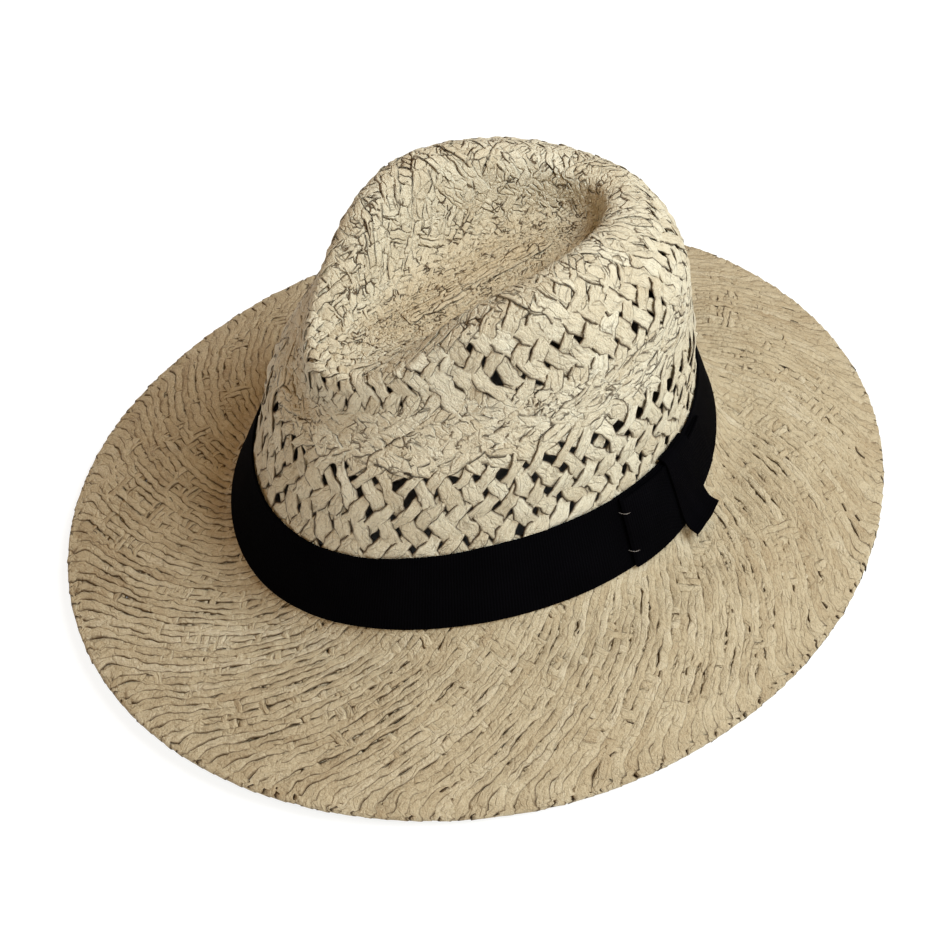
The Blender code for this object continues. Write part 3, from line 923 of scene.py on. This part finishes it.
def ribbon_band():
    """Band with soft ripples, a corded selvedge and a slightly uneven edge."""
    turns = 720
    theta = np.arange(turns) * (2.0 * math.pi / turns)
    ripple = np.zeros(turns)
    for size, waves, phase in ((0.12, 5, 0.4), (0.09, 9, 1.9), (0.06, 17, 0.7), (0.04, 31, 2.2)):
        ripple += size * np.sin(waves * theta + phase)
    edge = 0.007 * np.sin(7 * theta + 0.5) + 0.004 * np.sin(19 * theta) + 0.002 * np.sin(61 * theta)
    selvedge = {0.06: 0.14, 0.075: 0.12, 0.975: 0.12, 0.99: 0.14}
    outer = []
    inner = []
    weave = []
    for share in (0.05, 0.06, 0.075, 0.10, 0.2, 0.32, 0.44, 0.56, 0.68, 0.8, 0.92, 0.96,
                  0.975, 0.99, 1.0):
        height = share + edge * (share - 0.3)
        lift = ripple * math.sin(math.pi * share) + selvedge.get(share, 0.0) - 0.05
        outer.append(band_rows(theta, height, lift))
        inner.append(band_rows(theta, height, lift - 0.7))
        weave.append(np.stack([theta * BAND_RADIUS, height * BAND_HEIGHT, np.zeros(turns)], -1))
    made = closed_sheet("ribbon_cloth", np.array(outer), np.array(inner), np.array(weave), True)
    dress(made, "ribbon_band", ribbon_material())


def along_path(path, spacing):
    """Evenly spaced points on a smoothed open path of (across, lift) pairs."""
    points = np.array(path, dtype=float)
    for _ in range(2):
        cut = np.empty((2 * len(points) - 2, 2))
        cut[0::2] = 0.75 * points[:-1] + 0.25 * points[1:]
        cut[1::2] = 0.25 * points[:-1] + 0.75 * points[1:]
        points = np.concatenate([points[:1], cut, points[-1:]])
    steps = np.linalg.norm(np.diff(points, axis=0), axis=1)
    distance = np.concatenate([[0.0], np.cumsum(steps)])
    at = np.linspace(0.0, distance[-1], max(int(distance[-1] / spacing), 4))
    even = np.stack([np.interp(at, distance, points[:, k]) for k in (0, 1)], axis=-1)
    return even, at


def ribbon_strip(name, node, path, spacing, shares, place, ply):
    """Ribbon that follows a path; place(across, share, lift) gives the points."""
    even, distance = along_path(path, spacing)
    run = np.gradient(even, axis=0)
    run /= np.linalg.norm(run, axis=1, keepdims=True)
    square = np.stack([-run[:, 1], run[:, 0]], axis=-1)
    sides = []
    for offset in (0.5 * ply, -0.5 * ply):
        moved = even + offset * square
        sides.append(np.array([[place(a, s, z) for s in shares] for a, z in moved]))
    weave = np.zeros(sides[0].shape)
    weave[..., 0] = distance[:, None]
    weave[..., 1] = np.array(shares)[None, :] * BAND_HEIGHT
    made = closed_sheet(name, sides[0], sides[1], weave)
    return dress(made, node, ribbon_material())


def bow_loop(node, near, far, heights, phase):
    """Flattened loop: the ribbon runs out, folds and comes back on top."""
    sign = 1.0 if far > near else -1.0
    fold = 0.5 * (BOW_PLY + BOW_AIR)
    base = 0.35 + 0.5 * BOW_PLY
    reach = abs(far - near) * math.radians(BAND_RADIUS) - fold
    outward = [(reach * i / 11.0, base) for i in range(12)]
    turn = [(reach + fold * math.cos(a), base + fold + fold * math.sin(a))
            for a in np.radians([-60.0, -30.0, 0.0, 30.0, 60.0])]
    back = []
    for i in range(11, -1, -1):
        share = i / 11.0
        swell = BOW_SWELL * math.sin(math.pi * share)
        back.append((reach * share, base + 2.0 * fold + swell))
    shares = np.array((0.0, 0.016, 0.054, 0.16, 0.29, 0.42, 0.55, 0.68, 0.82, 0.935, 0.984, 1.0))
    shares = heights[0] + (heights[1] - heights[0]) * shares

    def place(across, share, lift):
        angle = math.radians(near + sign * across / math.radians(BAND_RADIUS))
        height = share + 0.005 * math.sin(0.35 * across + phase) * (share - 0.3)
        lift += 0.10 * math.sin(0.5 * across + 3.0 * share + phase) * math.sin(math.pi * share)
        return band_rows(np.array([angle]), height, lift)[0]

    ribbon_strip(node + "_cloth", node, outward + turn + back, 0.6, shares, place, 0.9 * BOW_PLY)


def bow_knot():
    """Upright wrap over both loops; its lower end flares out over the brim."""
    rise = BAND_HEIGHT + 1.0
    top = KNOT_LIFT
    path = [(1.06, -0.3), (1.067, 1.4), (1.045, top - 0.3), (0.92, top), (0.78, top),
            (0.65, top), (0.50, top), (0.38, top + 0.05), (0.27, top + 0.2), (0.18, top + 0.5),
            (0.08, top + 1.7), (0.04, KNOT_FLARE)]
    path = [(share * rise, lift) for share, lift in path]

    def place(up, share, lift):
        crown = 0.18 * math.cos(0.5 * math.pi * share) if up < 1.03 * rise else 0.0
        narrow = 1.0 - 0.06 * math.exp(-((up / rise - 0.55) / 0.25) ** 2)
        angle = math.radians(BOW_CENTRE_ANGLE + share * KNOT_HALF_ANGLE * narrow)
        wave = 0.10 * math.sin(6.0 * share + 0.25 * up)
        return band_rows(np.array([angle]), up / rise, lift + crown + wave)[0]

    shares = np.linspace(-1.0, 1.0, 15)
    ribbon_strip("bow_knot_cloth", "bow_knot", path, 0.5, shares, place, 0.9 * BOW_PLY)


def stitches(name, node, paths, radius):
    """Short stitches of thread, one along each path of points, as one piece."""
    sides = 8
    angles = np.arange(sides) * (2.0 * math.pi / sides)
    tubes = []
    quads = []
    ends = []
    base = 0
    for path in paths:
        path = np.array(path, dtype=float).reshape(-1, 3)
        rings = len(path)
        run = np.gradient(path, axis=0)
        run /= np.linalg.norm(run, axis=1, keepdims=True)
        first = np.cross(run, np.array([0.3, 0.2, 0.93]))
        first /= np.linalg.norm(first, axis=1, keepdims=True)
        second = np.cross(run, first)
        width = radius * np.sqrt(np.maximum(1.0 - np.linspace(-0.97, 0.97, rings) ** 4, 0.05))
        circle = (first[:, None, :] * np.cos(angles)[None, :, None]
                  + second[:, None, :] * np.sin(angles)[None, :, None])
        tubes.append((path[:, None, :] + circle * width[:, None, None]).reshape(-1, 3))
        quads.append(grid_quads(rings, sides, wrap_columns=True) + base)
        ends.append([base + k for k in range(sides)][::-1])
        ends.append([base + (rings - 1) * sides + k for k in range(sides)])
        base += rings * sides
    made = mesh_object(name, np.concatenate(tubes), np.concatenate(quads), ends)
    return dress(made, node, thread_material())


def tack_stitches():
    """Two small stitches that hold the front loop's folded end to the band."""
    face = 0.35 + BOW_PLY + BOW_AIR + BOW_PLY
    paths = []
    for share in (0.28, 0.80):
        for step in np.linspace(0.0, 1.0, 7):
            angle = np.radians(np.array([BOW_FRONT_ANGLE + 1.5 - 2.3 * step]))
            lift = 0.15 + (face + 0.1) * (1.0 - step ** 4)
            paths.append(band_rows(angle, share + 0.02 * step, lift)[0])
    paths = np.array(paths).reshape(2, 7, 3)
    stitches("tack_stitches", "bow_front_loop", paths, 0.13)


# ------------------------------------------------------------ inside the hat
SWEATBAND_START = 67.0
SWEATBAND_END = 97.0
SWEATBAND_THICKNESS = 1.0
LABEL_ANGLES = (191.0, 206.0)
LABEL_STATIONS = (71.0, 98.5)
LABEL_THICKNESS = 0.5
TAPE_HALF_ANGLE = 4.5
TAPE_STATIONS = (68.5, 96.0)
TAPE_THICKNESS = 0.6


def inner_point(theta, station, depth):
    point = SURFACE.read(SURFACE.points, theta, station)
    return point - SURFACE.normal_at(theta, station) * np.asarray(depth)[..., None]


def inner_sheet(name, node, material, theta, stations, depths, thickness, wrap):
    """Sheet against the inside of the crown; depths belong to the stations."""
    turn, station = np.meshgrid(theta, np.array(stations, dtype=float))
    depth = np.broadcast_to(np.array(depths, dtype=float)[:, None], turn.shape)
    ripple = 0.06 * np.sin(23.0 * turn + 0.3 * station)
    outer = inner_point(turn, station, depth)
    inner = inner_point(turn, station, depth + thickness + ripple)
    weave = np.stack([turn * BAND_RADIUS, station, np.zeros(turn.shape)], axis=-1)
    made = closed_sheet(name, outer, inner, weave, wrap)
    return dress(made, node, material)


def sweatband():
    theta = np.arange(360) * (2.0 * math.pi / 360)
    near = SHELL_THICKNESS + FIT_GAP
    stations = [SWEATBAND_START, 67.6, 69.0, 71.0, 75.0, 80.0, 85.0, 90.0, 94.0, 95.5, 96.4,
                SWEATBAND_END]
    depths = [near + 0.1] + [near] * 10 + [near + 0.1]
    inner_sheet("sweatband_cloth", "sweatband", lining_material(),
                theta, stations, depths, SWEATBAND_THICKNESS - 0.1, True)
    face = near + SWEATBAND_THICKNESS - 0.1
    stitch_row("sweatband_stitches", "sweatband",
               np.arange(0.0, 360.0, 3.0), 0.8, SWEATBAND_START + 2.6, face)


def stitch_row(name, node, turns, reach, station, depth):
    """Running stitches at one station, centred on the given turn angles."""
    paths = []
    for turn in turns:
        steps = np.linspace(-1.0, 1.0, 5)
        theta = np.radians(turn + reach * steps)
        stations = np.full(5, station)
        paths.append(inner_point(theta, stations, depth + 0.12 * (1.0 - steps * steps) - 0.02))
    stitches(name, node, paths, 0.16)


def lining_patch(name, node, material, angles, stations, thickness):
    theta = np.radians(np.linspace(angles[0], angles[1], 25))
    near = SHELL_THICKNESS + SWEATBAND_THICKNESS + 2.0 * FIT_GAP
    rows = np.linspace(stations[0], stations[1], 15)
    inner_sheet(name, node, material, theta, rows, [near] * 15, thickness - 0.1, False)


# ----------------------------------------------------------------- the stage
TARGET = np.array([6.75, -9.0, 20.0])
CAMERA_AZIMUTH = 53.95
CAMERA_ELEVATION = 48.39
CAMERA_ROLL = -1.09
CAMERA_DISTANCE = 706.3
CAMERA_LENS = 67.1

FLOOR_HALF_SIZE = 20.0
FLOOR_HEIGHT = -0.0008
FLOOR_PAINT = (0.25, 0.25, 0.25)
FLOOR_OVAL = (1.0 / 0.155, 1.0 / 0.178, 1.0)
FLOOR_GLOW = 0.86
FLOOR_GLOW_START = (0.82, 0.96)
FLOOR_GLOW_COLOUR = (0.97, 0.99, 1.0)

HORIZON = (0.56, 0.53, 0.50)
HORIZON_TOP = (0.20, 0.32)
SKY_SHADE = (0.24, 0.10, 0.02)
SKY_BRIGHT = (1.00, 0.72, 0.40)
SKY_TURN = 0.7
KEY_AZIMUTH = 132.0
LIGHT_DISTANCE = 1800.0
LIGHT_COLOUR = (0.78, 0.90, 1.0)


def view_axes(azimuth, elevation, roll=0.0):
    a = math.radians(azimuth)
    e = math.radians(elevation)
    back = np.array([math.sin(a) * math.cos(e), -math.cos(a) * math.cos(e), math.sin(e)])
    right = np.array([math.cos(a), math.sin(a), 0.0])
    up = np.cross(back, right)
    r = math.radians(roll)
    turned_right = right * math.cos(r) + up * math.sin(r)
    turned_up = up * math.cos(r) - right * math.sin(r)
    return turned_right, turned_up, back


def facing(azimuth, elevation, distance, roll=0.0):
    """Pose of something that looks at the target."""
    right, up, back = view_axes(azimuth, elevation, roll)
    place = (TARGET + back * distance) * MM
    rows = [[right[i], up[i], back[i], place[i]] for i in range(3)] + [[0.0, 0.0, 0.0, 1.0]]
    return Matrix(rows)


def make_camera():
    data = bpy.data.cameras.new("camera")
    data.sensor_width = 36.0
    data.lens = CAMERA_LENS
    camera = add_object("camera", data)
    camera.matrix_world = facing(CAMERA_AZIMUTH, CAMERA_ELEVATION, CAMERA_DISTANCE, CAMERA_ROLL)
    bpy.context.scene.camera = camera


def area_light(name, azimuth, elevation, size, power):
    data = bpy.data.lights.new(name, "AREA")
    data.shape = "DISK"
    data.size = size
    data.energy = power
    data.color = LIGHT_COLOUR
    add_object(name, data).matrix_world = facing(azimuth, elevation, LIGHT_DISTANCE)


def make_stage():
    """Pale floor that glows softly outside the hat's own footprint."""
    h = FLOOR_HALF_SIZE
    mesh = bpy.data.meshes.new("floor")
    mesh.from_pydata([(-h, -h, 0.0), (h, -h, 0.0), (h, h, 0.0), (-h, h, 0.0)], [], [(0, 1, 2, 3)])
    floor = add_object("floor", mesh)
    floor.location.z = FLOOR_HEIGHT
    n = Paint("floor_paint")
    place = n.add("ShaderNodeTexCoord").outputs["Object"]
    reach = n.add("ShaderNodeVectorMath", operation="LENGTH")
    n.feed(reach.inputs[0], n.stretched(place, FLOOR_OVAL))
    glow = n.span(reach.outputs["Value"], *FLOOR_GLOW_START, 0.0, FLOOR_GLOW)
    n.feed(n.shader.inputs["Emission Color"], FLOOR_GLOW_COLOUR)
    n.feed(n.shader.inputs["Emission Strength"], glow)
    mesh.materials.append(n.finish(FLOOR_PAINT, 0.9, 0.0))


def make_light():
    """Pale horizon, a warm sky that is brighter toward the key, and two cool soft lights."""
    scene = bpy.context.scene
    scene.view_settings.view_transform = "Standard"
    scene.world = bpy.data.worlds.new("studio")
    scene.world.use_nodes = True
    sky = Wiring(scene.world.node_tree)
    direction = sky.add("ShaderNodeTexCoord").outputs["Generated"]
    _, _, rise = sky.parts(direction)
    toward_key = sky.add("ShaderNodeVectorMath", operation="DOT_PRODUCT")
    sky.feed(toward_key.inputs[0], direction)
    toward_key.inputs[1].default_value = view_axes(KEY_AZIMUTH, 0.0)[2]
    bright = sky.span(toward_key.outputs["Value"], -SKY_TURN, SKY_TURN)
    overhead = sky.mix(bright, SKY_SHADE, SKY_BRIGHT)
    colour = sky.mix(sky.span(rise, *HORIZON_TOP), HORIZON, overhead)
    sky.feed(sky.tree.nodes["Background"].inputs["Color"], colour)
    area_light("key", KEY_AZIMUTH, 55.0, 1.1, 37.0)
    area_light("side", 78.0, 12.0, 1.0, 2.5)


# --------------------------------------------------------------------- build
make_camera()
make_stage()
make_light()
straw_body()
ribbon_band()
bow_loop("bow_front_loop", BOW_CENTRE_ANGLE - BOW_SPLIT, BOW_FRONT_ANGLE, (0.07, 0.99), 0.0)
bow_loop("bow_rear_loop", BOW_CENTRE_ANGLE + BOW_SPLIT, BOW_REAR_ANGLE, (0.20, 0.94), 2.0)
bow_knot()
tack_stitches()
sweatband()
lining_patch("care_label_cloth", "care_label", label_material(),
             LABEL_ANGLES, LABEL_STATIONS, LABEL_THICKNESS)
lining_patch("seam_tape_cloth", "sweatband_seam_tape", lining_material(),
             (180.0 - TAPE_HALF_ANGLE, 180.0 + TAPE_HALF_ANGLE), TAPE_STATIONS, TAPE_THICKNESS)
wire = bpy.data.objects["brim_edge_wire"]
wire.data.materials.clear()
wire.data.materials.append(wire_material())
